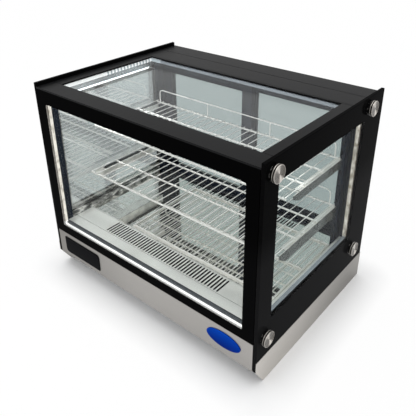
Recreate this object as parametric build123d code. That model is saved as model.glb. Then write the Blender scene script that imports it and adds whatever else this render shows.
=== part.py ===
"""Countertop refrigerated display case with glass on four sides and two sliding doors behind.

Millimetres. X runs left to right as seen from the front, Y from front to back, Z up.
The origin is on the counter, under the middle of the case.
"""
import os
from math import cos, radians, sin

from build123d import *

os.makedirs("parts", exist_ok=True)

# Overall sizes of the case
overall_width = 810.0          # over the outer faces of the two side glasses
overall_depth = 588.0          # front edge to rear edge of the side glasses
overall_height = 652.0         # counter to the top edge of the side glasses
toe_height = 57.0              # open gap under the front panel
plate_rise = 11.0              # how far the side glasses stand above the top frame
overcut = 1.0                  # how far a cut runs past the face it opens
edge_break = 1.0               # broken edge of a moulded or turned piece

# Sheet metal
sheet = 1.5                    # pans, skirts, deck, brackets
thin_sheet = 1.2               # front panel, rear panel, top cover
panel_joint = 1.0              # open joint between a panel and the glass beside it
hem = 12.0                     # width of a folded edge
inlet_slot_count = 12          # air inlets in the base pan
inlet_slot_pitch = 22.0
inlet_slot_width = 8.0
inlet_slot_length = 70.0

# Side glass, with an inner pane held off by a spacer
side_glass_thickness = 10.0
side_cavity = 10.5
inner_pane_thickness = 4.0
spacer_width = 8.0
spacer_inset = 2.0             # from the pane's edge to the spacer
glass_arris = 1.0              # polished chamfer round the side glasses
stud_hole = 9.0
side_pane_front = 48.0         # behind the front plane

# Front glass
front_glass_thickness = 6.0
front_cavity = 12.0
front_panel_height = 89.0
glass_joint = 1.0
front_pane_rise = 21.0         # the inner pane starts this far above the outer glass

# Top frame and top glass
frame_thickness = 5.0
front_bar_width = 59.0
side_bar_width = 39.5
rear_bar_width = 5.0
bar_joint = 1.2                # width and depth of the joints between the frame's bars
top_glass_thickness = 4.0
top_cavity = 10.0
top_glass_overlap = 16.0       # the top glass is bonded this far under the frame
cover_depth = 150.0            # rear cover, front to back
cover_drop = 61.0              # height of its rear face
cover_crease_inset = 73.0      # from the rear plane to the crease across the cover
cover_crease = 0.6             # depth of the crease, and half its width

# Side skirts and feet
skirt_height = 91.0
skirt_gap = 1.0                # between the skirt's foot and the counter
skirt_toe_cut = 36.0           # the front lower corner is cut back by this much
skirt_ledge = 45.0             # inward ledge that carries the side glass and the base
foot_diameter = 40.0
foot_pad_height = 14.0
foot_stem_diameter = 22.0
foot_inset_x = 70.0            # foot axis, in from the outer face of the glass
foot_front_y = 150.0
foot_rear_y = 480.0

# Insulated floor, deck and air slots
deck_height = 178.0
post_width = 23.0              # corner posts, jambs and curbs, across the case
post_depth = 40.0
curb_rise = 16.0               # the curbs stand above the deck and carry the inner side panes
tub_wall = 20.0
partition_x = -20.0            # left face of the wall between evaporator well and machine bay
slab_thickness = 26.5
channel_depth = 18.0
slot_count = 42
slot_pitch = 11.0
slot_width = 5.5
front_slot_y = 66.0
front_slot_length = 56.0
rear_slot_setback = 46.0       # from the door tracks to the front end of the rear slots
rear_slot_length = 32.0
deck_front_y = 24.0
deck_bead_y = 58.0             # a bead is pressed across the deck before the front slots
deck_bead_width = 4.0
deck_bead_depth = 0.8

# Rear doors and their tracks
door_recess = 46.0             # from the rear plane to the back of the tracks
track_wall = 3.0
door_thickness = 18.0
door_clearance = 0.5           # on each side of a door in its groove
door_seat = 0.3                # between a door and the floor of its groove
door_end_clearance = 0.3       # between a closed door and its jamb
track_bottom_height = 13.0
track_groove_depth = 8.0
track_top_height = 20.0
track_top_groove = 14.0
door_engagement = 8.0          # how far a door reaches up into the top track
door_overlap = 38.0            # the two doors overlap by one stile
stile_width = 38.0
rail_height = 34.0
door_glass_thickness = 6.0
pull_width = 20.0
pull_height = 100.0
pull_depth = 10.0
header_front_gap = 1.0
jamb_depth = 73.0
beam_height = 25.0

# Uprights, brackets and wire shelves
upright_width = 15.0
upright_depth = 20.0
upright_setback = 20.0         # from the uprights' back to the door tracks
upright_slot_width = 4.0
upright_slot_height = 14.0
upright_slot_pitch = 31.0
upright_first_slot = 24.0      # above the deck
upright_slot_count = 13
bracket_flange = 15.5
bracket_inset = 9.5            # from the upright's outer face to the bracket's web
bracket_tip_height = 12.0
hook_length = 6.0
hook_drop = 6.0
hook_clearance = 0.5
wire_diameter = 3.0
rod_diameter = 6.0
wire_pitch = 27.5              # as near to this as an even spacing allows
wire_overhang = 4.0            # wires run past the front rod by this much
rod_overhang = 2.5             # rods run past the outermost wire
rod_clearance = 1.5            # between a rod's end and the bracket's web
shelf_back_gap = 5.0           # between the rear rod's axis and the uprights
upper_shelf_z = 468.0          # top of the upper brackets
upper_shelf_front = 168.0
upper_bracket_front = 199.0
upper_bracket_height = 27.0
middle_shelf_z = 313.0
middle_shelf_front = 133.0
middle_bracket_front = 150.0
middle_bracket_height = 35.0
guard_diameter = 4.0
guard_height = 44.0
guard_bend = 14.0
guard_end_inset = 13.75        # from the outermost wire to the guard's leg
guard_post_x = 123.75          # from the middle of the shelf to a guard post
rack_front = 139.0
rack_setback = 15.0            # from the rack's rear rod to the uprights
rack_length = 540.0            # the rack leaves the left end of the deck bare
rack_side_gap = 10.0           # from the rack to the curb on its right
rack_wire_pitch = 25.4         # as near to this as an even spacing allows

# Standoff knobs on the side glasses
knob_diameter = 44.0
knob_disc = 3.2
knob_groove = 1.6
knob_groove_depth = 2.5
knob_chamfer = 0.6
collar_diameter = 41.0         # washer between the glass and the barrel
collar_thickness = 2.0
barrel_diameter = 34.0
barrel_length = 6.0            # from the glass to the head, washer included
stud_diameter = 8.0
knob_front_y = 35.0
knob_rear_inset = 84.0         # from the rear plane to the rear knobs' axis
knob_top_inset = 33.0          # from the top edge of the glass to the upper knobs' axis
knob_panel_rise = 9.0          # from the top of the front panel to the lower knobs' axis

# Light bars under the side bars of the top frame
light_bar_height = 47.0
light_bar_width = 22.0
light_bar_chamfer = 14.0

# Fans, coils and compressor
fan_headroom = 3.5             # between a fan frame and the slab over the machine bay
fan_depth = 22.0
fan_wall = 3.0
fan_tip_clearance = 2.0
fan_hub_diameter = 30.0
fan_hub_length = 10.0
fan_blade_count = 5
fan_blade_chord = 26.0
fan_blade_thickness = 1.6
fan_root_pitch = 42.0
fan_tip_pitch = 24.0
motor_diameter = 34.0
motor_length = 9.0
shaft_diameter = 5.0
shaft_length = 8.0
shaft_clearance = 0.05
strut_width = 5.0
coil_end_plate = 2.0
coil_groove = 3.0
coil_groove_pitch = 12.0
evaporator_depth = 50.0
evaporator_headroom = 22.0     # from the coil to the deck
evaporator_wall_gap = 21.5     # from the coil to the outer wall of its well
evaporator_line_gap = 30.0     # from the coil to the partition, for the tubes
evaporator_setback = 162.0     # from the door jambs to the coil's middle
evaporator_fan_gap = 30.0
condenser_depth = 40.0
condenser_headroom = 7.5
condenser_side_gap = 17.0      # from the coil to the curb
condenser_line_gap = 45.0      # from the coil to the partition, for the tubes
condenser_setback = 140.0      # from the rear panel to the coil's middle
condenser_fan_gap = 2.0
bend_radius = 12.0
tube_diameter = 8.0
tube_bend = 18.0
tube_hole = 10.0
compressor_length = 160.0
compressor_dome = 18.0
compressor_headroom = 3.5
compressor_side_gap = 42.0     # from the shell to the curb
compressor_setback = 140.0     # from the condenser's middle to the shell's axis
compressor_clearance = 6.0     # under the shell
saddle_width = 22.0
saddle_span = 70.0
saddle_height = 20.0

# Rear panel with louvres, controller, switch and inlet
rear_panel_inset = 8.0         # outer face, in from the rear plane
louvre_count = 9
louvre_pitch = 7.0
louvre_height = 3.0
louvre_inset = 5.0             # a louvre is this much shorter than half the coil behind it
louvre_column_gap = 12.0
bezel_x = -250.0
bezel_z = 112.0
bezel_width = 150.0
bezel_height = 52.0
bezel_face = 3.0
bezel_lip = 5.0
bezel_depth = 20.0
bezel_wall = 2.0
window_width = 62.0
window_height = 26.0
window_clearance = 0.3
window_offset = -34.0
button_width = 14.0
button_height = 10.0
button_pitch_x = 24.0
button_pitch_z = 18.0
button_offset = 34.0
button_clearance = 0.3
button_rim = 1.2
button_travel = 1.5
inlet_x = -90.0
inlet_width = 60.0
inlet_height = 32.0
inlet_depth = 22.0
inlet_face = 3.0
inlet_lip = 4.0
socket_width = 24.0
socket_height = 16.0
socket_depth = 15.0
socket_offset = -13.0
pin_width = 2.0
pin_height = 4.0
pin_length = 9.0
pin_spread = 7.0
rocker_width = 12.0
rocker_height = 20.0
rocker_offset = 16.0
rocker_depth = 9.0
rocker_tilt = 7.0
rocker_clearance = 0.6
rocker_pin = 3.0
rocker_pin_clearance = 0.05

# Levels and faces that follow from the sizes above
front = -overall_depth / 2
glass_outer_x = overall_width / 2
glass_inner_x = glass_outer_x - side_glass_thickness
post_inner_x = glass_inner_x - post_width
inner_pane_outer_x = glass_inner_x - side_cavity
inner_pane_inner_x = inner_pane_outer_x - inner_pane_thickness
frame_top = overall_height - plate_rise
frame_bottom = frame_top - frame_thickness
top_pane_top = frame_bottom - top_glass_thickness - top_cavity
ceiling = top_pane_top - inner_pane_thickness
panel_top = toe_height + front_panel_height
front_glass_bottom = panel_top + glass_joint
front_glass_x = glass_inner_x - panel_joint
front_pane_y = front_glass_thickness + front_cavity
post_y = front_glass_thickness + panel_joint / 2
side_window_x = glass_inner_x - side_bar_width
cover_front_y = overall_depth - cover_depth
frame_back_y = cover_front_y - panel_joint
window_back_y = frame_back_y - rear_bar_width
groove_width = door_thickness + 2 * door_clearance
track_depth = 3 * track_wall + 2 * groove_width
track_back_y = overall_depth - door_recess
track_front_y = track_back_y - track_depth
upright_back_y = track_front_y - upright_setback
upright_y = upright_back_y - upright_depth
upright_outer_x = post_inner_x - panel_joint
upright_inner_x = upright_outer_x - upright_width
jamb_y = track_front_y - hook_drop - spacer_inset
side_pane_back = jamb_y - panel_joint
curb_top = deck_height + curb_rise
side_pane_top = frame_bottom - light_bar_height
track_bottom_z = deck_height - track_bottom_height
track_top_z = ceiling - track_top_height
tub_top = deck_height - sheet
tub_floor = toe_height + sheet
well_floor = tub_floor + tub_wall
slab_bottom = tub_top - slab_thickness
panel_x = post_inner_x - door_clearance
rear_face_y = overall_depth - rear_panel_inset
rear_slot_y = track_front_y - rear_slot_setback
button_proud = button_travel + button_clearance
knob_rear_y = overall_depth - knob_rear_inset
knob_top_z = overall_height - knob_top_inset
knob_bottom_z = panel_top + knob_panel_rise
rod_half = upright_outer_x - bracket_inset - rod_clearance
wire_half = rod_half - rod_overhang
wire_gaps = round(2 * wire_half / wire_pitch)
rack_back = upright_y - rack_setback

# The machine bay and what stands in it
bay_left = partition_x + tub_wall
bay_height = slab_bottom - tub_floor
fan_size = bay_height - fan_headroom
fan_bore = fan_size - 2 * fan_wall
evaporator_height = tub_top - well_floor - evaporator_headroom
evaporator_left = -panel_x + tub_wall + evaporator_wall_gap
evaporator_length = partition_x - evaporator_line_gap - evaporator_left
evaporator_x = evaporator_left + evaporator_length / 2
evaporator_y = jamb_y - evaporator_setback
condenser_height = bay_height - condenser_headroom
condenser_length = post_inner_x - condenser_side_gap - condenser_line_gap - bay_left
condenser_x = bay_left + condenser_line_gap + condenser_length / 2
condenser_y = rear_face_y - condenser_setback
compressor_diameter = bay_height - compressor_clearance - compressor_headroom
compressor_x = post_inner_x - compressor_side_gap - compressor_length / 2
compressor_y = condenser_y - compressor_setback
louvre_length = condenser_length / 2 - louvre_inset


def block(x0, x1, y0, y1, z0, z1):
    """A box between two corners, with y measured back from the front plane."""
    middle = Pos((x0 + x1) / 2, front + (y0 + y1) / 2, (z0 + z1) / 2)
    return middle * Box(x1 - x0, y1 - y0, z1 - z0)


def bar(start, end, diameter):
    """A round bar between two points, with y measured back from the front plane."""
    foot = Vector(start[0], front + start[1], start[2])
    run = Vector(end[0], front + end[1], end[2]) - foot
    return Solid.make_cylinder(diameter / 2, run.length, Plane(foot, z_dir=run))


def tube(points, diameter, bend):
    """A bent tube through points, with y measured back from the front plane."""
    path = FilletPolyline(*[(x, front + y, z) for x, y, z in points], radius=bend)
    return sweep(Plane(path @ 0, z_dir=path % 0) * Circle(diameter / 2), path)


def mirrored(shape):
    """The same piece on the other side of the case."""
    return mirror(shape, about=Plane.YZ)


def both(shape):
    """A piece and its mirror image."""
    return [shape, mirrored(shape)]


def save(node, *shapes):
    """Write one node, with every solid of the shapes in it."""
    solids = [solid for shape in shapes for solid in shape.solids()]
    export_step(Compound(solids), f"parts/{node}.step")


def ring(x0, x1, y0, y1, z0, z1, width, normal):
    """Four bars around a rectangle that faces along the named axis."""
    if normal == "x":
        low = block(x0, x1, y0, y1, z0, z0 + width)
        high = block(x0, x1, y0, y1, z1 - width, z1)
        near = block(x0, x1, y0, y0 + width, z0 + width, z1 - width)
        far = block(x0, x1, y1 - width, y1, z0 + width, z1 - width)
    elif normal == "y":
        low = block(x0, x1, y0, y1, z0, z0 + width)
        high = block(x0, x1, y0, y1, z1 - width, z1)
        near = block(x0, x0 + width, y0, y1, z0 + width, z1 - width)
        far = block(x1 - width, x1, y0, y1, z0 + width, z1 - width)
    else:
        low = block(x0, x1, y0, y0 + width, z0, z1)
        high = block(x0, x1, y1 - width, y1, z0, z1)
        near = block(x0, x0 + width, y0 + width, y1 - width, z0, z1)
        far = block(x1 - width, x1, y0 + width, y1 - width, z0, z1)
    return [low, high, near, far]


def knob_places():
    """The four standoff places on a side glass, as distance back and height."""
    return [(y, z) for y in (knob_front_y, knob_rear_y) for z in (knob_bottom_z, knob_top_z)]


def side_glass():
    """The right side glass, with polished edges, bored for its four standoff studs."""
    plate = block(glass_inner_x, glass_outer_x, 0, overall_depth, toe_height, overall_height)
    plate = chamfer(plate.edges(), glass_arris)
    for y, z in knob_places():
        plate -= bar((glass_inner_x - overcut, y, z), (glass_outer_x + overcut, y, z), stud_hole)
    return plate


def skirt():
    """The right skirt: an outer sheet with its toe cut back, and the ledge folded inward."""
    outline = Polyline(
        (front, toe_height),
        (front, skirt_height),
        (front + overall_depth, skirt_height),
        (front + overall_depth, skirt_gap),
        (front + skirt_toe_cut, skirt_gap),
        close=True,
    )
    sheet_face = Plane.YZ.offset(glass_outer_x) * make_face(outline)
    wall = extrude(sheet_face, amount=sheet)
    ledge = block(glass_outer_x - skirt_ledge, glass_outer_x, skirt_toe_cut, overall_depth,
                  toe_height - sheet, toe_height)
    return wall + ledge


def foot(x, y):
    """A levelling foot: a moulded pad on a stem."""
    pad = foot_diameter / 2
    stem = foot_stem_diameter / 2
    top = toe_height
    outline = Polyline(
        (0, 0), (pad - edge_break, 0), (pad, edge_break), (pad, foot_pad_height / 2),
        (stem, foot_pad_height), (stem, top), (0, top), close=True,
    )
    return Pos(x, front + y, 0) * revolve(Plane.XZ * make_face(outline), Axis.Z)


def knob_head(y, z):
    """A turned head of two discs with a groove between them."""
    rim = knob_diameter / 2
    neck = rim - knob_groove_depth
    profile = Polyline(
        (0, 0), (rim - knob_chamfer, 0), (rim, knob_chamfer), (rim, knob_disc - knob_chamfer),
        (rim - knob_chamfer, knob_disc), (neck, knob_disc), (neck, knob_disc + knob_groove),
        (rim - knob_chamfer, knob_disc + knob_groove),
        (rim, knob_disc + knob_groove + knob_chamfer),
        (rim, 2 * knob_disc + knob_groove - knob_chamfer),
        (rim - knob_chamfer, 2 * knob_disc + knob_groove),
        (0, 2 * knob_disc + knob_groove), close=True,
    )
    head = revolve(Plane.XZ * make_face(profile), Axis.Z)
    seat = Plane(origin=(glass_outer_x + barrel_length, front + y, z), z_dir=(1, 0, 0))
    return seat * head


def knob_barrel(y, z):
    """The collar on the glass, the barrel, and the stud through the glass to the post inside."""
    faces = (glass_inner_x, glass_outer_x, glass_outer_x + collar_thickness,
             glass_outer_x + barrel_length)
    steps = zip(faces, faces[1:], (stud_diameter, collar_diameter, barrel_diameter))
    stud, collar, barrel = [bar((x0, y, z), (x1, y, z), diameter) for x0, x1, diameter in steps]
    return stud + collar + barrel


def front_panel():
    """The front panel: a face with its four edges folded back."""
    back = front_pane_y + inner_pane_thickness
    face = block(-front_glass_x, front_glass_x, 0, thin_sheet, toe_height, panel_top)
    low = block(-post_inner_x, post_inner_x, 0, back, toe_height, toe_height + thin_sheet)
    high = block(-post_inner_x, post_inner_x, 0, back, panel_top - thin_sheet, panel_top)
    end = block(front_glass_x - thin_sheet, front_glass_x, 0, front_glass_thickness,
                toe_height, panel_top)
    return face + low + high + end + mirrored(end)


def base_pan():
    """The base pan: a floor with its rear edge folded up and air inlets under the machine bay."""
    y1 = rear_face_y - thin_sheet
    pan = block(-panel_x, panel_x, deck_front_y, y1, toe_height, tub_floor)
    pan += block(-panel_x, panel_x, y1 - sheet, y1, toe_height, toe_height + hem)
    inlet = extrude(SlotOverall(inlet_slot_length, inlet_slot_width, rotation=90),
                    amount=tub_floor)
    span = (inlet_slot_count - 1) * inlet_slot_pitch
    middle_y = front + deck_front_y + tub_wall + inlet_slot_length / 2
    return pan - [Pos(condenser_x + i * inlet_slot_pitch - span / 2, middle_y, 0) * inlet
                  for i in range(inlet_slot_count)]


def slot_row(y, length):
    """A row of air slots across the deck, with round ends."""
    slot = extrude(SlotOverall(length, slot_width, rotation=90), amount=deck_height)
    span = (slot_count - 1) * slot_pitch
    return [Pos(i * slot_pitch - span / 2, front + y + length / 2, 0) * slot
            for i in range(slot_count)]


def deck_panel():
    """The chamber floor: a sheet with two rows of slots and a pressed bead."""
    y1 = track_front_y - panel_joint
    deck = block(-panel_x, panel_x, deck_front_y, y1, tub_top, deck_height)
    deck -= block(-panel_x, panel_x, deck_bead_y, deck_bead_y + deck_bead_width,
                  deck_height - deck_bead_depth, deck_height)
    return deck - slot_row(front_slot_y, front_slot_length) - slot_row(rear_slot_y,
                                                                     rear_slot_length)


def insulated_floor():
    """The insulation, in foam panels: a well on the left, a slab over the machine bay."""
    well_x, well_y = tub_wall - panel_x, deck_front_y + tub_wall
    ground = block(-panel_x, bay_left, deck_front_y, track_back_y, tub_floor, well_floor)
    outer_wall = block(-panel_x, well_x, deck_front_y, jamb_y, well_floor, tub_top)
    front_wall = block(well_x, bay_left, deck_front_y, well_y, well_floor, tub_top)
    rear_wall = block(-panel_x, bay_left, jamb_y, track_back_y, well_floor, track_bottom_z)
    partition = block(partition_x, bay_left, well_y, jamb_y, well_floor, tub_top)
    slab = block(bay_left, panel_x, deck_front_y, jamb_y, slab_bottom, tub_top)
    beam = block(bay_left, panel_x, jamb_y, track_back_y,
                 track_bottom_z - beam_height, track_bottom_z)
    reach = slot_count * slot_pitch / 2
    for y, length in ((front_slot_y, front_slot_length), (rear_slot_y, rear_slot_length)):
        channel = block(partition_x, reach, y - slot_width / 2, y + length + slot_width / 2,
                        tub_top - channel_depth, tub_top)
        partition -= channel
        slab -= channel
    for start, end in tube_crossings():
        partition -= bar(start, end, tube_hole)
    return [ground, outer_wall, front_wall, rear_wall, partition, slab, beam]


def tube_crossings():
    """Where the two tubes of the evaporator go through the partition."""
    reach = (partition_x - overcut, bay_left + overcut)
    return [[(x, y, z) for x in reach] for y, z in (liquid_end(), suction_end())]


def curb():
    """The right curb, which carries the inner pane of the side glass."""
    return block(post_inner_x, glass_inner_x, post_y + post_depth + panel_joint, side_pane_back,
                 toe_height, curb_top)


def corner_post():
    """The right front corner post, bonded to the front and side glass."""
    return block(post_inner_x, glass_inner_x, post_y, post_y + post_depth,
                 toe_height, frame_bottom)


def jamb():
    """The right rear post, which the door closes against."""
    return block(post_inner_x, glass_inner_x, jamb_y, jamb_y + jamb_depth, toe_height, ceiling)


def upright():
    """The right upright: a channel with slots for the bracket hooks."""
    post = block(upright_inner_x, upright_outer_x, upright_y, upright_back_y,
                 deck_height, ceiling)
    post -= block(upright_inner_x + sheet, upright_outer_x - sheet, upright_y + sheet,
                  upright_back_y, deck_height, ceiling)
    web_x = upright_outer_x - bracket_inset + sheet / 2
    for i in range(upright_slot_count):
        z = deck_height + upright_first_slot + i * upright_slot_pitch
        post -= block(web_x - upright_slot_width / 2, web_x + upright_slot_width / 2,
                      upright_y - overcut, upright_y + sheet + overcut,
                      z, z + upright_slot_height)
    return post


def slot_below(level):
    """The height of the foot of the highest upright slot that lies wholly under a level."""
    first = deck_height + upright_first_slot
    steps = int((level - upright_slot_height - first) // upright_slot_pitch)
    return first + max(0, steps) * upright_slot_pitch


def bracket(top, front_y, height):
    """The right bracket of a shelf: a tapered web, a flange under the rods, and its hook."""
    web_x = upright_outer_x - bracket_inset
    back = front + upright_y
    outline = Polyline(
        (front + front_y, top), (back, top), (back, top - height),
        (front + front_y + 2 * bracket_flange, top - height),
        (front + front_y, top - bracket_tip_height), close=True,
    )
    web = extrude(Plane.YZ.offset(web_x) * make_face(outline), amount=sheet)
    flange = block(web_x - bracket_flange, web_x, front_y + 2 * bracket_flange, upright_y,
                   top - sheet, top)
    slot = slot_below(top)
    tongue_top = slot + upright_slot_height - hook_clearance
    tongue = block(web_x, web_x + sheet, upright_y, upright_y + sheet + hook_clearance + hook_length,
                   slot + hook_clearance, tongue_top)
    tip = block(web_x, web_x + sheet, upright_y + sheet + hook_clearance,
                upright_y + sheet + hook_clearance + hook_length,
                slot - hook_drop, slot + hook_clearance)
    return web + flange + tongue + tip


def grid(front_y, back_y, rods, level):
    """A wire grid: rods across the case at the given level, wires front to back on top."""
    rod_z = level + rod_diameter / 2
    wire_z = level + rod_diameter + wire_diameter / 2
    pieces = [bar((-rod_half, y, rod_z), (rod_half, y, rod_z), rod_diameter) for y in rods]
    for i in range(wire_gaps + 1):
        x = (2 * i / wire_gaps - 1) * wire_half
        pieces.append(bar((x, front_y - wire_overhang, wire_z), (x, back_y, wire_z),
                          wire_diameter))
    return pieces


def shelf(front_y, level, rod_count):
    """A shelf grid with its rods evenly spaced from the front rod to the uprights."""
    back_y = upright_y - shelf_back_gap
    step = (back_y - front_y) / (rod_count - 1)
    rods = [front_y + i * step for i in range(rod_count)]
    return grid(front_y, back_y + rod_diameter / 2, rods, level)


def floor_rack():
    """The rack on the deck: a flat frame of rods with a middle rod, and wires on top."""
    rod = rod_diameter / 2
    right = post_inner_x - rack_side_gap
    left = right - rack_length
    rod_z = deck_height + rod
    wire_z = deck_height + rod_diameter + wire_diameter / 2
    pieces = [bar((left, y, rod_z), (right, y, rod_z), rod_diameter)
              for y in (rack_front, rack_back)]
    pieces += [bar((x, rack_front + rod, rod_z), (x, rack_back - rod, rod_z), rod_diameter)
               for x in (left + rod, right - rod)]
    middle_y = (rack_front + rack_back) / 2
    pieces.append(bar((left + rod_diameter, middle_y, rod_z),
                      (right - rod_diameter, middle_y, rod_z), rod_diameter))
    gaps = round(rack_length / rack_wire_pitch)
    for i in range(1, gaps):
        x = left + i * rack_length / gaps
        pieces.append(bar((x, rack_front - wire_overhang, wire_z),
                          (x, rack_back + wire_overhang, wire_z), wire_diameter))
    return pieces


def guard(level):
    """The rail behind a shelf: one bent wire with two posts, standing on the rear rod."""
    y = upright_y - shelf_back_gap
    low = level + rod_diameter
    high = low + guard_height
    end_x = wire_half - guard_end_inset
    rail = tube([(-end_x, y, low), (-end_x, y, high), (end_x, y, high), (end_x, y, low)],
                guard_diameter, guard_bend)
    post = bar((guard_post_x, y, low), (guard_post_x, y, high), wire_diameter)
    return rail + post + mirrored(post)


def door(left, right, y, pull_x):
    """A framed door: two stiles, two rails, and a finger pull in the back of one stile."""
    low = track_bottom_z + track_bottom_height - track_groove_depth + door_seat
    high = track_top_z + door_engagement
    back = y + door_thickness
    stiles = []
    for x in (left, right - stile_width):
        stile = block(x, x + stile_width, y, back, low, high)
        if x <= pull_x <= x + stile_width:
            middle = (low + high) / 2
            stile -= block(pull_x - pull_width / 2, pull_x + pull_width / 2, back - pull_depth,
                           back, middle - pull_height / 2, middle + pull_height / 2)
        stiles.append(stile)
    inner = (left + stile_width, right - stile_width)
    rails = [block(*inner, y, back, z, z + rail_height) for z in (low, high - rail_height)]
    glass_y = y + (door_thickness - door_glass_thickness) / 2
    glass = block(*inner, glass_y, glass_y + door_glass_thickness,
                  low + rail_height, high - rail_height)
    return stiles + rails, glass


def grooves(z0, z1):
    """The two door grooves of a track."""
    inner_y = track_front_y + track_wall
    outer_y = inner_y + groove_width + track_wall
    return [block(-panel_x - overcut, panel_x + overcut, y, y + groove_width, z0, z1)
            for y in (inner_y, outer_y)]


def top_cover():
    """The rear cover: a folded, creased sheet with a front hem, a rear face and a bottom hem."""
    x = front_glass_x
    low = frame_top - cover_drop
    cover = block(-x, x, cover_front_y, overall_depth, frame_top - thin_sheet, frame_top)
    crease_y = overall_depth - cover_crease_inset
    cover -= block(-x, x, crease_y - cover_crease, crease_y + cover_crease,
                   frame_top - cover_crease, frame_top)
    cover += block(-x, x, cover_front_y, cover_front_y + thin_sheet, frame_bottom, frame_top)
    cover += block(-x, x, overall_depth - thin_sheet, overall_depth, low, frame_top)
    return cover + block(-x, x, overall_depth - hem, overall_depth, low, low + thin_sheet)


def light_bar():
    """The right light bar: an extrusion with a slanted face towards the chamber."""
    x1 = glass_inner_x
    x0 = x1 - light_bar_width
    z0 = frame_bottom - light_bar_height
    outline = Polyline(
        (x0, frame_bottom), (x1, frame_bottom), (x1, z0), (x0 + light_bar_chamfer, z0),
        (x0, z0 + light_bar_chamfer), close=True,
    )
    y0 = post_y + post_depth + panel_joint
    run = cover_front_y + header_front_gap + spacer_width - y0
    face = Plane((0, front + y0, 0), x_dir=(1, 0, 0), z_dir=(0, -1, 0)) * make_face(outline)
    return extrude(face, amount=-run)


def fan_frame():
    """A square fan frame about its own Y axis: bored plate, three struts, motor and shaft."""
    turned = Rot(-90, 0, 0)
    frame = Box(fan_size, fan_size, fan_depth, align=(Align.CENTER, Align.CENTER, Align.MIN))
    frame -= Cylinder(fan_bore / 2, fan_depth, align=(Align.CENTER, Align.CENTER, Align.MIN))
    motor = Cylinder(motor_diameter / 2, motor_length,
                     align=(Align.CENTER, Align.CENTER, Align.MIN))
    reach = fan_bore / 2 + strut_width / 2
    for i in range(3):
        arm = Box(reach, strut_width, strut_width / 2,
                  align=(Align.MIN, Align.CENTER, Align.MIN))
        frame += Rot(0, 0, 90 + i * 120) * arm
    shaft = Pos(0, 0, motor_length) * Cylinder(
        shaft_diameter / 2, shaft_length, align=(Align.CENTER, Align.CENTER, Align.MIN))
    return turned * (frame + motor + shaft)


def fan_blade():
    """The fan's hub with its twisted blades, about the same axis as its frame."""
    turned = Rot(-90, 0, 0)
    hub_base = motor_length + door_clearance
    root = fan_hub_diameter / 2 - fan_blade_thickness
    tip = fan_bore / 2 - fan_tip_clearance
    hub = Pos(0, 0, hub_base) * Cylinder(
        fan_hub_diameter / 2, fan_hub_length, align=(Align.CENTER, Align.CENTER, Align.MIN))
    middle = hub_base + fan_hub_length / 2
    sections = []
    for radius, pitch, share in ((root, fan_root_pitch, 0.4), (tip, fan_tip_pitch, 1.0)):
        chord = fan_blade_chord * share
        plane = Plane(origin=(radius, 0, middle), x_dir=(0, cos(radians(pitch)), sin(radians(pitch))),
                      z_dir=(1, 0, 0))
        sections.append(plane * Rectangle(chord, fan_blade_thickness))
    blade = loft(sections, ruled=True)
    for i in range(fan_blade_count):
        hub += Rot(0, 0, i * 360 / fan_blade_count) * blade
    bore = Pos(0, 0, hub_base) * Cylinder(
        shaft_diameter / 2 + shaft_clearance, shaft_length,
        align=(Align.CENTER, Align.CENTER, Align.MIN))
    return turned * (hub - bore)


def coil(x, y, floor, length, depth, height):
    """A finned coil: grooved fin pack, two end plates and return bends on one end."""
    x0, x1 = x - length / 2, x + length / 2
    y0, y1 = y - depth / 2, y + depth / 2
    pack = block(x0, x1, y0, y1, floor, floor + height)
    for i in range(int(length // coil_groove_pitch)):
        groove_x = x0 + (i + 0.5) * coil_groove_pitch
        for near, far in ((y0, y0 + coil_groove), (y1 - coil_groove, y1)):
            pack -= block(groove_x - coil_groove / 2, groove_x + coil_groove / 2, near, far,
                          floor, floor + height)
    rows = int(height // (3 * bend_radius))
    for i in range(rows):
        z = floor + height * (i + 0.5) / rows
        turn = tube([(x0, y, z - bend_radius / 2), (x0 - bend_radius, y, z - bend_radius / 2),
                     (x0 - bend_radius, y, z + bend_radius / 2), (x0, y, z + bend_radius / 2)],
                    tube_diameter / 2, bend_radius / 2 - coil_end_plate / 2)
        pack += turn
    return pack


def compressor_axis_z():
    """The height of the compressor's axis."""
    return tub_floor + compressor_clearance + compressor_diameter / 2


def compressor():
    """A lying compressor: a shell with rounded ends on two saddles, with its two stubs."""
    half = compressor_length / 2
    neck = half - compressor_dome
    shell = Rot(0, 90, 0) * Cylinder(compressor_diameter / 2, compressor_length)
    shell = fillet(shell.edges().filter_by(GeomType.CIRCLE), compressor_dome)
    body = Pos(compressor_x, front + compressor_y, compressor_axis_z()) * shell
    for side in (-1, 1):
        x = compressor_x + side * (neck - saddle_width)
        body += block(x - saddle_width / 2, x + saddle_width / 2, compressor_y - saddle_span / 2,
                      compressor_y + saddle_span / 2, tub_floor, tub_floor + saddle_height)
    end_x = compressor_x - half
    for y, z in (discharge_start(), suction_start()):
        body += bar((end_x - compressor_dome, y, z), (end_x + 2 * compressor_dome, y, z),
                    tube_diameter + sheet)
    return body


def discharge_start():
    """The discharge stub's place on the compressor, as distance back and height."""
    return compressor_y, compressor_axis_z() + compressor_diameter / 4


def suction_start():
    """The suction stub's place on the compressor."""
    return compressor_y - compressor_diameter / 4, compressor_axis_z() - tube_diameter


def liquid_end():
    """Where the liquid line meets the evaporator."""
    return evaporator_y, well_floor + evaporator_height / 5


def suction_end():
    """Where the suction line leaves the evaporator."""
    return evaporator_y - evaporator_depth / 4, well_floor + evaporator_height * 0.75


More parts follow.
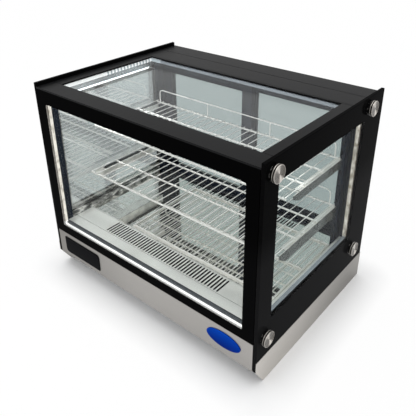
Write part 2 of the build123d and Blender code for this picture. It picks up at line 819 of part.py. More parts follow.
def refrigerant_lines():
    """The discharge, liquid and suction tubes."""
    stub_x = compressor_x - compressor_length / 2 - compressor_dome
    condenser_face = condenser_y - condenser_depth / 2
    evaporator_end = evaporator_x + evaporator_length / 2
    y, z = discharge_start()
    turn_x = condenser_x - condenser_length / 2 + 2 * tube_bend
    discharge = tube([(stub_x, y, z), (turn_x, y, z), (turn_x, condenser_face, z)],
                     tube_diameter, tube_bend)
    y, z = liquid_end()
    leave_x = turn_x + 2 * tube_bend
    liquid = tube([(leave_x, condenser_face, z), (leave_x, y, z), (evaporator_end, y, z)],
                  tube_diameter, tube_bend)
    y, z = suction_end()
    start_y, start_z = suction_start()
    drop_x = stub_x - 2 * tube_bend
    suction = tube([(evaporator_end, y, z), (drop_x, y, z), (drop_x, start_y, z),
                    (drop_x, start_y, start_z), (stub_x, start_y, start_z)],
                   tube_diameter, tube_bend / 2)
    return [discharge, liquid, suction]


def button_places():
    """The four buttons beside the display, as x and height."""
    return [(bezel_x + button_offset + i * button_pitch_x - button_pitch_x / 2,
             bezel_z + j * button_pitch_z - button_pitch_z / 2)
            for j in (1, 0) for i in (0, 1)]


def button(x, z):
    """A button cap with the rim that keeps it behind the bezel's face."""
    half_w = button_width / 2 - button_clearance
    half_h = button_height / 2 - button_clearance
    face_y = rear_face_y + bezel_face
    cap = block(x - half_w, x + half_w, rear_face_y - button_rim, face_y + button_proud,
                z - half_h, z + half_h)
    edge = cap.edges().filter_by(Axis.Y)
    cap = fillet(edge, half_h / 3)
    return cap + block(x - half_w - button_rim, x + half_w + button_rim,
                       rear_face_y - 2 * button_rim, rear_face_y - button_rim / 4,
                       z - half_h - button_rim, z + half_h + button_rim)


def control_bezel():
    """The controller's case: a face plate with a hollow box behind the panel."""
    w, h = bezel_width / 2, bezel_height / 2
    face_y = rear_face_y + bezel_face
    case = block(bezel_x - w, bezel_x + w, rear_face_y - bezel_depth, rear_face_y,
                 bezel_z - h, bezel_z + h)
    case -= block(bezel_x - w + bezel_wall, bezel_x + w - bezel_wall,
                  rear_face_y - bezel_depth + bezel_wall, rear_face_y,
                  bezel_z - h + bezel_wall, bezel_z + h - bezel_wall)
    plate = block(bezel_x - w - bezel_lip, bezel_x + w + bezel_lip, rear_face_y, face_y,
                  bezel_z - h - bezel_lip, bezel_z + h + bezel_lip)
    plate = fillet(plate.edges().filter_by(Axis.Y), bezel_lip)
    case += plate
    case -= block(*window_span(0), rear_face_y - overcut, face_y + overcut,
                  bezel_z - window_height / 2, bezel_z + window_height / 2)
    for x, z in button_places():
        case -= block(x - button_width / 2, x + button_width / 2, rear_face_y - overcut,
                      face_y + overcut, z - button_height / 2, z + button_height / 2)
    return case


def window_span(inset):
    """The display window's left and right edges."""
    x = bezel_x + window_offset
    return x - window_width / 2 + inset, x + window_width / 2 - inset


def display_window():
    """The display behind the bezel's cut-out, with its lens flush with the face."""
    half = window_height / 2 - window_clearance
    lens = block(*window_span(window_clearance), rear_face_y - bezel_wall,
                 rear_face_y + bezel_face - thin_sheet, bezel_z - half, bezel_z + half)
    module = block(*window_span(-bezel_wall), rear_face_y - bezel_depth + bezel_wall,
                   rear_face_y - window_clearance, bezel_z - half - bezel_wall,
                   bezel_z + half + bezel_wall)
    return lens + module


def power_inlet():
    """The inlet and switch housing in one moulding, with its three contact pins."""
    w, h = inlet_width / 2, inlet_height / 2
    face_y = rear_face_y + inlet_face
    body = block(inlet_x - w, inlet_x + w, rear_face_y - inlet_depth, rear_face_y,
                 bezel_z - h, bezel_z + h)
    plate = block(inlet_x - w - inlet_lip, inlet_x + w + inlet_lip, rear_face_y, face_y,
                  bezel_z - h - inlet_lip, bezel_z + h + inlet_lip)
    body += fillet(plate.edges().filter_by(Axis.Y), inlet_lip)
    sx = inlet_x + socket_offset
    body -= block(sx - socket_width / 2, sx + socket_width / 2, face_y - socket_depth, face_y,
                  bezel_z - socket_height / 2, bezel_z + socket_height / 2)
    rx = inlet_x + rocker_offset
    gap = rocker_clearance
    depth = rocker_depth + rocker_pin
    body -= block(rx - rocker_width / 2 - gap, rx + rocker_width / 2 + gap, face_y - depth,
                  face_y, bezel_z - rocker_height / 2 - gap, bezel_z + rocker_height / 2 + gap)
    body -= rocker_axle(rocker_pin + 2 * rocker_pin_clearance, gap + inlet_face)
    pins = []
    for x, z in ((sx - pin_spread, -pin_width), (sx, pin_width), (sx + pin_spread, -pin_width)):
        pins.append(block(x - pin_width / 2, x + pin_width / 2, face_y - socket_depth,
                          face_y - socket_depth + pin_length,
                          bezel_z + z - pin_height / 2, bezel_z + z + pin_height / 2))
    return [body] + pins


def rocker_axle(diameter, reach):
    """A round bar along the rocker's pivot, past both its sides."""
    rx = inlet_x + rocker_offset
    y = rear_face_y + inlet_face - rocker_depth / 2
    half = rocker_width / 2 + reach
    return bar((rx - half, y, bezel_z), (rx + half, y, bezel_z), diameter)


def rocker():
    """The switch's rocker, tilted to its off side, with its pivot pins."""
    rx = inlet_x + rocker_offset
    pivot_y = rear_face_y + inlet_face - rocker_depth / 2
    half = rocker_height / 2 - 2 * rocker_clearance
    top = rocker_depth / 2
    outline = Polyline(
        (-half, top), (0, top - rocker_clearance), (half, top), (half - edge_break, 0),
        (rocker_pin, 2 * rocker_clearance - top), (-rocker_pin, 2 * rocker_clearance - top),
        (edge_break - half, 0), close=True,
    )
    face = Plane((rx - rocker_width / 2, front + pivot_y, bezel_z), x_dir=(0, 0, 1),
                 z_dir=(-1, 0, 0)) * make_face(outline)
    cap = extrude(face, amount=-rocker_width)
    axle = Axis((rx, front + pivot_y, bezel_z), (1, 0, 0))
    cap = cap.rotate(axle, rocker_tilt)
    return cap + rocker_axle(rocker_pin, rocker_clearance + inlet_face - 2 * bezel_wall / 3)


def rear_panel():
    """The rear panel: louvred face with cut-outs, a top flange and two side flanges."""
    y0, y1 = rear_face_y - thin_sheet, rear_face_y
    top = track_bottom_z
    panel = block(-front_glass_x, front_glass_x, y0, y1, toe_height, top)
    panel += block(-panel_x, panel_x, track_back_y + panel_joint, y1, top - thin_sheet, top)
    side = block(front_glass_x - thin_sheet, front_glass_x, y1 - hem, y1, toe_height, top)
    panel = panel + side + mirrored(side)
    span = (louvre_count - 1) * louvre_pitch
    column = (louvre_length + louvre_column_gap) / 2
    for i in range(louvre_count):
        z = (toe_height + top) / 2 + i * louvre_pitch - span / 2
        for x in (condenser_x - column, condenser_x + column):
            panel -= block(x - louvre_length / 2, x + louvre_length / 2, y0, y1,
                           z - louvre_height / 2, z + louvre_height / 2)
    for x, w, h in ((bezel_x, bezel_width, bezel_height), (inlet_x, inlet_width, inlet_height)):
        panel -= block(x - w / 2 - window_clearance, x + w / 2 + window_clearance, y0, y1,
                       bezel_z - h / 2 - window_clearance, bezel_z + h / 2 + window_clearance)
    return panel


# Base: pan, skirts, feet, insulated floor and deck
save("base_pan", base_pan())
save("right_skirt", skirt())
save("left_skirt", mirrored(skirt()))
foot_x = glass_outer_x - foot_inset_x
save("feet", *[foot(x, y) for x in (-foot_x, foot_x) for y in (foot_front_y, foot_rear_y)])
save("insulated_floor", *insulated_floor(), *both(curb()))
save("deck_panel", deck_panel())
save("front_panel", front_panel())
save("rear_panel", rear_panel())

# Posts and glass, from the outside in
save("right_side_glass", side_glass())
save("left_side_glass", mirrored(side_glass()))
save("corner_posts", *both(corner_post()))
save("door_jambs", *both(jamb()))
front_glass = block(-front_glass_x, front_glass_x, 0, front_glass_thickness,
                    front_glass_bottom, frame_bottom)
save("front_glass", front_glass)
front_pane_x = post_inner_x - panel_joint
front_pane_z = (front_glass_bottom + front_pane_rise, frame_bottom - spacer_width)
save("front_inner_pane", block(-front_pane_x, front_pane_x, front_pane_y,
                               front_pane_y + inner_pane_thickness, *front_pane_z))
side_pane = block(inner_pane_inner_x, inner_pane_outer_x, side_pane_front, side_pane_back,
                  curb_top, side_pane_top)
save("right_inner_pane", side_pane)
save("left_inner_pane", mirrored(side_pane))
top_pane_x = side_window_x + top_glass_overlap
top_pane_y = (front_bar_width - top_glass_overlap, cover_front_y + spacer_width)
save("top_glass", block(-top_pane_x, top_pane_x, *top_pane_y,
                        frame_bottom - top_glass_thickness, frame_bottom))
save("top_inner_pane", block(-top_pane_x, top_pane_x, *top_pane_y, ceiling, top_pane_top))
inset = spacer_inset
spacers = ring(-front_pane_x + inset, front_pane_x - inset, front_glass_thickness, front_pane_y,
               front_pane_z[0] + inset, front_pane_z[1] - inset, spacer_width, "y")
side_spacers = ring(inner_pane_outer_x, glass_inner_x, side_pane_front + inset,
                    side_pane_back - inset, curb_top + inset, side_pane_top - inset,
                    spacer_width, "x")
spacers += side_spacers + [mirrored(piece) for piece in side_spacers]
spacers += ring(-top_pane_x + inset, top_pane_x - inset, top_pane_y[0] + inset,
                top_pane_y[1] - inset, top_pane_top, frame_bottom - top_glass_thickness,
                spacer_width, "z")
save("spacer_bars", *spacers)

# Top: frame, light bars, header and cover
side_bar = block(side_window_x, glass_inner_x, front_bar_width, window_back_y,
                 frame_bottom, frame_top)
for joint_y in (front_bar_width, window_back_y - bar_joint):
    side_bar -= block(side_window_x, glass_inner_x, joint_y, joint_y + bar_joint,
                      frame_top - bar_joint, frame_top)
save("top_frame",
     block(-glass_inner_x, glass_inner_x, 0, front_bar_width, frame_bottom, frame_top),
     *both(side_bar),
     block(-glass_inner_x, glass_inner_x, window_back_y, frame_back_y, frame_bottom, frame_top))
save("light_bars", *both(light_bar()))
header_y = top_pane_y[1] + header_front_gap
save("door_header", block(-glass_inner_x, glass_inner_x, header_y, jamb_y + jamb_depth,
                          ceiling, frame_top - thin_sheet))
save("top_cover", top_cover())

# Standoffs through the side glasses
heads = [knob_head(y, z) for y, z in knob_places()]
barrels = [knob_barrel(y, z) for y, z in knob_places()]
save("standoff_knobs", *heads, *[mirrored(head) for head in heads])
save("standoff_studs", *barrels, *[mirrored(barrel) for barrel in barrels])

# Sliding doors and their tracks
track_bottom = block(-panel_x, panel_x, track_front_y, track_back_y, track_bottom_z, deck_height)
save("door_track_bottom",
     track_bottom - grooves(deck_height - track_groove_depth, deck_height + 1))
track_top = block(-panel_x, panel_x, track_front_y, track_back_y, track_top_z, ceiling)
save("door_track_top", track_top - grooves(track_top_z - 1, track_top_z + track_top_groove))
door_edge = post_inner_x - door_end_clearance
left_door_y = track_front_y + track_wall + door_clearance
right_door_y = left_door_y + groove_width + track_wall
left_frame, left_glass = door(-door_edge, door_overlap / 2, left_door_y,
                              stile_width / 2 - door_edge)
right_frame, right_glass = door(-door_overlap / 2, door_edge, right_door_y,
                                door_edge - stile_width / 2)
save("left_door_frame", *left_frame)
save("left_door_glass", left_glass)
save("right_door_frame", *right_frame)
save("right_door_glass", right_glass)

# Uprights, brackets, shelves and the floor rack
save("right_upright", upright())
save("left_upright", mirrored(upright()))
upper = bracket(upper_shelf_z, upper_bracket_front, upper_bracket_height)
middle = bracket(middle_shelf_z, middle_bracket_front, middle_bracket_height)
save("upper_right_bracket", upper)
save("upper_left_bracket", mirrored(upper))
save("middle_right_bracket", middle)
save("middle_left_bracket", mirrored(middle))
save("upper_shelf", *shelf(upper_shelf_front, upper_shelf_z, 4))
save("upper_shelf_guard", guard(upper_shelf_z))
save("middle_shelf", *shelf(middle_shelf_front, middle_shelf_z, 4))
save("middle_shelf_guard", guard(middle_shelf_z))
save("floor_rack", *floor_rack())

# Cold circuit: evaporator in the well, compressor and condenser in the machine bay
save("evaporator_coil", coil(evaporator_x, evaporator_y, well_floor, evaporator_length,
                             evaporator_depth, evaporator_height))
save("condenser_coil", coil(condenser_x, condenser_y, tub_floor, condenser_length,
                            condenser_depth, condenser_height))
evaporator_fan_y = evaporator_y - evaporator_depth / 2 - evaporator_fan_gap - fan_depth
condenser_fan_y = condenser_y + condenser_depth / 2 + condenser_fan_gap
evaporator_fan = Pos(evaporator_x, front + evaporator_fan_y, well_floor + fan_size / 2)
condenser_fan = Pos(condenser_x, front + condenser_fan_y, tub_floor + fan_size / 2)
save("evaporator_fan_frame", evaporator_fan * fan_frame())
save("evaporator_fan_blade", evaporator_fan * fan_blade())
save("condenser_fan_frame", condenser_fan * fan_frame())
save("condenser_fan_blade", condenser_fan * fan_blade())
save("compressor", compressor())
save("refrigerant_lines", *refrigerant_lines())

# Controls on the rear panel
save("control_bezel", control_bezel())
save("display_window", display_window())
for name, (x, z) in zip(("up", "down", "set", "lamp"), button_places()):
    save(f"button_{name}", button(x, z))
save("power_inlet", *power_inlet())
save("power_switch", rocker())
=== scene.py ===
from math import cos, pi, radians, sin

import bmesh
import bpy
from mathutils import Matrix, Vector


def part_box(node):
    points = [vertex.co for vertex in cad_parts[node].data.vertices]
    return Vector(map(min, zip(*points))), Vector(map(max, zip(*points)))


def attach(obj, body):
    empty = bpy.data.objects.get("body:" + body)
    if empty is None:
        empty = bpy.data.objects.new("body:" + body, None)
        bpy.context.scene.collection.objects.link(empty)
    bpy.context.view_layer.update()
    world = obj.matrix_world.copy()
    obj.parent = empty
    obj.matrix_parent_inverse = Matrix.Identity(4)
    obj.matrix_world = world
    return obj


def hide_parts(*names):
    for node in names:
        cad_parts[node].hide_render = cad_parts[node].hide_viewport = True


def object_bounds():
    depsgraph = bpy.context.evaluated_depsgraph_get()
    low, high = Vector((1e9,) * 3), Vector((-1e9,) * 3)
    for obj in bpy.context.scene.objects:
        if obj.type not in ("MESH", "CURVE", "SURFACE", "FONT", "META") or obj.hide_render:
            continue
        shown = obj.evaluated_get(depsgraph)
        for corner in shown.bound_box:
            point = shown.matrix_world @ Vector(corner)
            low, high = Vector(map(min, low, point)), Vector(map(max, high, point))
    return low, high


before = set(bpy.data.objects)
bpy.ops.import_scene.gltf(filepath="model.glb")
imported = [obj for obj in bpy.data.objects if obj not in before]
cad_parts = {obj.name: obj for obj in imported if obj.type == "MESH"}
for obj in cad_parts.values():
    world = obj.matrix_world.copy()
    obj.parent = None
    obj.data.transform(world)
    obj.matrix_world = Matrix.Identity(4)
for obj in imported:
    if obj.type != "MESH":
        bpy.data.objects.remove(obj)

cad_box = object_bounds()

# The front panel and the two side skirts close the base. They are folded from brushed
# stainless sheet, with the grain along each panel; soft, cloudy reflections are painted into
# their colour.


class Socket:
    """A value inside a finish. Arithmetic on it adds the nodes that work it out."""

    def __init__(self, finish, socket):
        self.finish = finish
        self.socket = socket

    def maths(self, operation, first, second=0.0):
        return self.finish.node("ShaderNodeMath", {"operation": operation},
                                {0: first, 1: second})

    def __add__(self, other):
        return self.maths("ADD", self, other)

    __radd__ = __add__

    def __sub__(self, other):
        return self.maths("SUBTRACT", self, other)

    def __rsub__(self, other):  # so that 1 - mask works
        return self.maths("SUBTRACT", other, self)

    def __mul__(self, other):
        return self.maths("MULTIPLY", self, other)

    __rmul__ = __mul__

    def __truediv__(self, other):
        return self.maths("DIVIDE", self, other)

    def __pow__(self, other):
        return self.maths("POWER", self, other)

    def __lt__(self, other):
        return self.maths("LESS_THAN", self, other)

    def __gt__(self, other):
        return self.maths("GREATER_THAN", self, other)

    def __abs__(self):
        return self.maths("ABSOLUTE", self)

    def at_least(self, other):
        return self.maths("MAXIMUM", self, other)

    def within_one(self):
        """Held between 0 and 1."""
        return self.maths("MINIMUM", self.at_least(0.0), 1.0)

    def wave(self, length):
        """A sine wave of that length, from -1 to 1."""
        return self.maths("SINE", self * (2 * pi / length))


class Finish:
    """The nodes of one material, or of the room's light."""

    def __init__(self, owner):
        self.owner = owner
        owner.use_nodes = True
        self.tree = owner.node_tree
        self.tree.nodes.clear()

    def node(self, kind, settings, sockets, out=0):
        """Add a node: its kind, its settings, then its sockets."""
        made = self.tree.nodes.new(kind)
        for name, value in settings.items():
            setattr(made, name, value)
        for key, value in sockets.items():
            if isinstance(value, Socket):
                self.tree.links.new(value.socket, made.inputs[key])
            else:
                made.inputs[key].default_value = value
        return Socket(self, made.outputs[out]) if made.outputs else None

    def place(self):
        return self.node("ShaderNodeTexCoord", {}, {}, out="Object")

    def axis(self, name):
        return self.node("ShaderNodeSeparateXYZ", {}, {0: self.place()}, out=name)

    def level(self):
        """1 on faces that lie level, 0 on upright ones."""
        normal = self.node("ShaderNodeTexCoord", {}, {}, out="Normal")
        return abs(self.node("ShaderNodeSeparateXYZ", {}, {0: normal}, out="Z"))

    def noise(self, scale, stretch=(1, 1, 1), detail=3.0):
        spot = self.node("ShaderNodeVectorMath", {"operation": "MULTIPLY"},
                         {0: self.place(), 1: stretch})
        return self.node("ShaderNodeTexNoise", {},
                         {"Vector": spot, "Scale": scale, "Detail": detail})

    def blend(self, mask, first, second):
        """The first colour where the mask is 0 and the second where it is 1."""
        return self.node("ShaderNodeMix", {"data_type": "RGBA"},
                         {0: mask, 6: first, 7: second}, out=2)

    def bump(self, height, strength, distance=0.0005):
        return self.node("ShaderNodeBump", {},
                         {"Strength": strength, "Distance": distance, "Height": height})

    def coat(self, **sockets):
        """A Principled surface; its sockets are named with underscores for spaces."""
        return self.node("ShaderNodeBsdfPrincipled", {},
                         {name.replace("_", " "): value for name, value in sockets.items()})

    def mix(self, mask, first, second):
        """The first surface where the mask is 0 and the second where it is 1."""
        return self.node("ShaderNodeMixShader", {}, {0: mask, 1: first, 2: second})

    def done(self, shader, output="ShaderNodeOutputMaterial"):
        """Send a surface to the output, and give back the finished material."""
        self.node(output, {}, {"Surface": shader})
        return self.owner


def new_finish(name):
    return Finish(bpy.data.materials.new(name))


def dress(material, *nodes):
    """Give a finish to CAD nodes."""
    for name in nodes:
        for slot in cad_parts[name].material_slots:
            slot.material = material


def soften(width, *nodes):
    """Break the sharp edges of CAD nodes, as every real edge is broken."""
    for name in nodes:
        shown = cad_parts[name]
        weld = shown.modifiers.new("weld", "WELD")
        weld.merge_threshold = 0.00001
        edge = shown.modifiers.new("edge", "BEVEL")
        edge.width = width
        edge.segments = 2
        edge.limit_method = "ANGLE"
        edge.angle_limit = radians(50)
        edge.harden_normals = True


def brushed(name, grain, dark, pale, run):
    """Brushed sheet with fine lines along its grain, and a painted reflection: clouded, dark at
    one end of a run and pale at the other. The run is an axis and the places on it where it
    starts and ends."""
    steel = new_finish(name)
    lines = steel.noise(30, grain, 4)
    # Painted reflection: a soft cloud and a run from dark to pale in the steel's colour.
    painted_reflection_cloud = steel.noise(3.2, (1, 1, 0.6), 1)
    along, start, end = run
    painted_reflection_sweep = ((steel.axis(along) - start) / (end - start)).within_one()
    tone = steel.blend(0.75 * painted_reflection_sweep + 0.25 * painted_reflection_cloud, dark, pale)
    return steel.done(steel.coat(
        Base_Color=tone, Metallic=1.0, Roughness=0.30 + 0.12 * lines,
        Normal=steel.bump(lines, 0.05)))


grain_along_x = (0.6, 12, 16)
grain_along_y = (12, 0.6, 16)
# The dark and pale steel tones are the two ends of a painted reflection.
steel_in_painted_shade = (0.22, 0.21, 0.195, 1)
steel_in_painted_reflection = (0.43, 0.415, 0.395, 1)
skirt_in_painted_reflection = (0.68, 0.65, 0.61, 1)
dress(brushed("brushed_front", grain_along_x, steel_in_painted_shade, steel_in_painted_reflection, run=("X", -0.40, -0.06)),
      "front_panel")
dress(brushed("brushed_side", grain_along_y, steel_in_painted_shade, skirt_in_painted_reflection, run=("Y", 0.20, -0.29)),
      "left_skirt", "right_skirt")
soften(0.0005, "front_panel", "left_skirt", "right_skirt")

# The base pan, the rear panel and the feet are seen only from low down and from behind:
# galvanised sheet with a mild spangle, the same brushed steel, and black rubber pads
# screwed to the pan.
galvanised = new_finish("galvanised")
spangle = galvanised.node("ShaderNodeTexVoronoi", {},
                          {"Vector": galvanised.place(), "Scale": 90.0})
dress(galvanised.done(galvanised.coat(
    Base_Color=galvanised.blend(spangle, (0.36, 0.37, 0.38, 1), (0.55, 0.56, 0.57, 1)),
    Metallic=1.0, Roughness=0.35 + 0.2 * spangle)), "base_pan")
# The rear panel's colour also runs from dark to pale across it: a painted reflection.
dress(brushed("brushed_rear", grain_along_x, steel_in_painted_shade, steel_in_painted_reflection, run=("X", -0.60, 0.30)),
      "rear_panel")
soften(0.0004, "rear_panel")


def moulded(name, colour, roughness, grain=900, depth=0.08):
    """Moulded plastic or rubber with a fine even texture."""
    plastic = new_finish(name)
    texture = plastic.noise(grain, detail=2)
    return plastic.done(plastic.coat(
        Base_Color=colour, Roughness=roughness + 0.08 * texture,
        Normal=plastic.bump(texture, depth, 0.0002)))


dress(moulded("foot_rubber", (0.018, 0.018, 0.018, 1), roughness=0.62), "feet")

# The floor of the cold chamber is a tray of polished stainless steel that lies on the
# foam tub. It is satin in front and like a mirror behind. Its upright faces, the walls of its
# two
# rows of air slots, are painted black: painted shade inside the slots.
mirror_start = -0.172
mirror_fade = 0.012
tray = new_finish("polished_tray")
rolled = tray.noise(24, (10, 0.8, 1), 3)
waves = tray.noise(9, (1, 1, 1), 1)
sheet = tray.blend(waves, (0.93, 0.94, 0.90, 1), (1.0, 0.99, 0.96, 1))
mirror_zone = ((tray.axis("Y") - mirror_start) / mirror_fade).within_one()
top_face = tray.coat(Base_Color=sheet, Metallic=0.35 + 0.6 * mirror_zone,
                     Roughness=0.12 - 0.10 * mirror_zone + 0.02 * rolled,
                     Normal=tray.bump(waves, 0.01, 0.002))
# Painted shade: the tray's upright faces, the slot walls among them, are black.
painted_slot_shade = tray.coat(Base_Color=(0.003, 0.003, 0.003, 1), Roughness=0.6,
                      Specular_IOR_Level=0.02)
dress(tray.done(tray.mix(tray.level() > 0.5, painted_slot_shade, top_face)), "deck_panel")

# The tub under the tray is made of black foam panels. The inner part of the curbs beside
# the tray is faced with bright metal, mottled dark and bright on the left and evenly bright on
# the right. Below a set height the facing is painted black: a painted shadow under the curbs.
facing_reach = 0.380
curb_shadow_top = 0.1785
tub = new_finish("foam_liner")
right_half = tub.axis("X") > 0
bright_mottle = (4.0 * (tub.noise(70, (1, 0.5, 1), 4) - 0.42)).at_least(right_half).within_one()
curb_facing = tub.coat(
    Base_Color=tub.blend(bright_mottle, (0.10, 0.10, 0.095, 1), (1.0, 0.98, 0.94, 1)), Metallic=0.2,
    Roughness=0.15 + 0.2 * bright_mottle)
foam = tub.coat(Base_Color=(0.003, 0.003, 0.004, 1), Roughness=0.6, Specular_IOR_Level=0.02)
# Painted shadow: the curb facing is black below a set height, like the foam.
foam_and_curb_shadow = (abs(tub.axis("X")) > facing_reach).at_least(tub.axis("Z") < curb_shadow_top)
dress(tub.done(tub.mix(foam_and_curb_shadow, curb_facing, foam)), "insulated_floor")

# The corner posts and the rear door jambs carry the glass. They are foam-filled, in
# dark blue-grey anodised profile with fine draw lines.
lining = new_finish("post_lining")
streak = lining.noise(20, (14, 14, 0.7), 3)
dress(lining.done(lining.coat(
    Base_Color=lining.blend(streak, (0.008, 0.012, 0.020, 1), (0.024, 0.030, 0.044, 1)),
    Roughness=0.28 + 0.1 * streak, Specular_IOR_Level=0.05)),
      "corner_posts", "door_jambs")

# Bright foil-covered spacers keep the two panes of each glass apart, sealed to both. The
# upright ones are mottled with brown, the roof ones grey-blue, and a ribbed seal runs along the
# foot of the front one. The front ones, the right ones at half strength and the left roof one
# glow a little: painted light that stands for the lamps in the case.
front_spacers_end = -0.27
right_spacers_start = 0.37
left_spacers_end = -0.32
roof_spacers_start = 0.62
uprights_start = 0.186
right_sill_top = 0.206
lamp_pitch = 0.014
lamp_row_start = -0.06
seal_face = -0.2815
seal_top = 0.180
rib_pitch = 0.006
spacer = new_finish("pane_spacer")
spacer_x = spacer.axis("X")
spacer_y = spacer.axis("Y")
spacer_z = spacer.axis("Z")
front_spacers = spacer_y < front_spacers_end
right_spacers = spacer_x > right_spacers_start
left_spacers = spacer_x < left_spacers_end
roof_spacers = spacer_z > roof_spacers_start
uprights = spacer_z > uprights_start
right_sill = right_spacers * (1 - front_spacers) * (spacer_z < right_sill_top)
bright_mottle = (3.0 * (spacer.noise(90, (1, 1, 0.6), 3) - 0.22 - 0.12 * right_spacers)).within_one()
bright_foil_tone = spacer.blend(uprights, (1.0, 1.0, 0.98, 1), (0.86, 0.81, 0.74, 1))
mottled_tone = spacer.blend(uprights * (1 - bright_mottle), bright_foil_tone, (0.32, 0.28, 0.22, 1))
wall_tone = spacer.blend(right_sill, mottled_tone, (0.42, 0.46, 0.50, 1))
# Grey dots along the rear of the left roof spacer stand for its row of small lamps.
lamps = (spacer_y.wave(lamp_pitch) > 0.2) * (spacer_y > lamp_row_start)
lamp_row_tone = spacer.blend(lamps, (1.0, 1.0, 1.0, 1), (0.42, 0.47, 0.50, 1))
roof_tone = spacer.blend(left_spacers, (0.34, 0.37, 0.41, 1), lamp_row_tone)
foil_tone = spacer.blend(roof_spacers, wall_tone, roof_tone)
# Painted light: the front spacers, the right ones above the sill at half strength and the left
# roof one glow.
right_painted_glow = 0.5 * right_spacers * (1 - right_sill)
painted_glow = front_spacers.at_least(right_painted_glow).at_least(roof_spacers * left_spacers)
foil = spacer.coat(Base_Color=foil_tone, Metallic=0.3, Roughness=0.12 + 0.1 * bright_mottle,
                   Emission_Color=spacer.blend(painted_glow, (0, 0, 0, 1), foil_tone),
                   Emission_Strength=0.45)
# The seal's ribs are only light and dark stripes in its colour: painted shading.
ribs = 0.5 + 0.5 * spacer_x.wave(rib_pitch)
seal = spacer.coat(Base_Color=spacer.blend(ribs, (0.10, 0.11, 0.12, 1), (0.19, 0.20, 0.21, 1)),
                   Roughness=0.5, Specular_IOR_Level=0.1)
seal_place = (spacer_y > seal_face) * (spacer_z < seal_top)
dress(spacer.done(spacer.mix(seal_place, foil, seal)), "spacer_bars")

# The outer glasses of the front and the sides carry a black border fired onto them, round
# a clear window with small corner radii. The side glasses stand above the top. Both borders are
# painted paler towards their foot as a reflection, the sides' a little more than the front
# one's.
front_window = ((-0.359, 0.175), (0.359, 0.594))
side_window = ((-0.237, 0.203), (0.182, 0.588))
window_corner = 0.006
border_reflection_start = 0.46
border_reflection_height = 0.08
front_tint = (0.985, 0.99, 0.988, 1)
side_tint = (0.95, 0.962, 0.96, 1)
faint_gleam = 0.001


def clear(finish, tint, gleam):
    """Clear glass: it tints what shows through it, and mirrors more at a slant."""
    through = finish.node("ShaderNodeBsdfTransparent", {}, {"Color": tint})
    mirror = finish.coat(Base_Color=(1, 1, 1, 1), Metallic=1.0, Roughness=0.015)
    slant = finish.node("ShaderNodeLayerWeight", {}, {"Blend": 0.5}, out="Facing")
    return finish.mix(gleam + 0.3 * slant ** 8, through, mirror)


def window(finish, across, low, high):
    """1 inside a window with round corners, in the plane of one axis and Z."""
    spans = []
    for axis, start, end in ((across, low[0], high[0]), ("Z", low[1], high[1])):
        straight = (end - start) / 2 - window_corner
        past = abs(finish.axis(axis) - (start + end) / 2) - straight
        spans.append(past.at_least(0) ** 2)
    return spans[0] + spans[1] < window_corner ** 2


def bordered(name, across, low, high, tint, pale):
    """Glass with its black printed border, painted paler towards its foot as a reflection."""
    glass = new_finish(name)
    dust = glass.noise(260, detail=2)
    # Painted reflection: the border grows paler below a set height.
    lower = ((border_reflection_start - glass.axis("Z")) / border_reflection_height).within_one()
    border = glass.coat(
        Base_Color=glass.blend(0.3 * dust + 0.7 * lower, (0.0012, 0.0012, 0.0013, 1), pale),
        Roughness=0.1 + 0.05 * dust, Specular_IOR_Level=0.003)
    return glass.done(glass.mix(window(glass, across, low, high), border,
                                clear(glass, tint, faint_gleam)))


# The pale tones are those of the painted reflection at the foot of each border.
dress(bordered("front_glass", "X", *front_window, front_tint, pale=(0.0028, 0.0028, 0.003, 1)),
      "front_glass")
dress(bordered("side_glass", "Y", *side_window, side_tint, pale=(0.010, 0.010, 0.0105, 1)),
      "left_side_glass", "right_side_glass")

# The inner panes and the top glass have no border, but the front pane has a dark line of
# sealant along its foot. The left inner pane mirrors the wire shelves in bright streaks,
# and the right one hardly mirrors anything.


def plain_glass(name, tint, gleam, line_top=0.0):
    """A pane with no border, dark up to the top of a line along its foot if it has one."""
    glass = new_finish(name)
    line = glass.coat(Base_Color=(0.11, 0.12, 0.13, 1), Roughness=0.4, Specular_IOR_Level=0.1)
    return glass.done(glass.mix(glass.axis("Z") < line_top, clear(glass, tint, gleam), line))


sealant_top = 0.184
dress(plain_glass("front_pane", front_tint, faint_gleam, sealant_top), "front_inner_pane")
dress(plain_glass("left_pane", (0.80, 0.82, 0.82, 1), gleam=0.35), "left_inner_pane")
dress(plain_glass("right_pane", side_tint, faint_gleam), "right_inner_pane")
dress(plain_glass("top_pane", (0.98, 0.988, 0.988, 1), gleam=0.025), "top_glass",
      "top_inner_pane")

# The top frame, the rear cover and the header above the doors are aluminium with a satin
# black coat. The frame's bars meet in fine seams, and the cover has a folded rear face.
satin = new_finish("satin_black")
speckle = satin.noise(700, detail=2)
satin_black = satin.done(satin.coat(
    Base_Color=satin.blend(speckle, (0.006, 0.006, 0.0065, 1), (0.010, 0.010, 0.0105, 1)),
    Roughness=0.34 + 0.1 * speckle, Specular_IOR_Level=0.05,
    Normal=satin.bump(speckle, 0.03, 0.0002)))
dress(satin_black, "top_frame", "top_cover", "door_header")
soften(0.0006, "top_frame", "top_cover")

# A light bar is fixed under each side bar of the top frame: a bright extrusion whose
# slanted face holds a strip of small lamps under a frosted cover.
bar_width = 0.022
bar_slant = 0.014
lamps_in_a_metre = 60.0
strip_width = 0.009
strip_corner = 0.001
strip_thickness = 0.0015
strip_rounding = 0.0003
strip_end_gap = 0.01
bright = new_finish("bright_extrusion")
drawn = bright.noise(26, (12, 0.6, 12), 3)
bright_aluminium = bright.done(bright.coat(
    Base_Color=bright.blend(drawn, (0.60, 0.62, 0.66, 1), (0.86, 0.87, 0.90, 1)), Metallic=1.0,
    Roughness=0.16 + 0.14 * drawn))
dress(bright_aluminium, "light_bars")


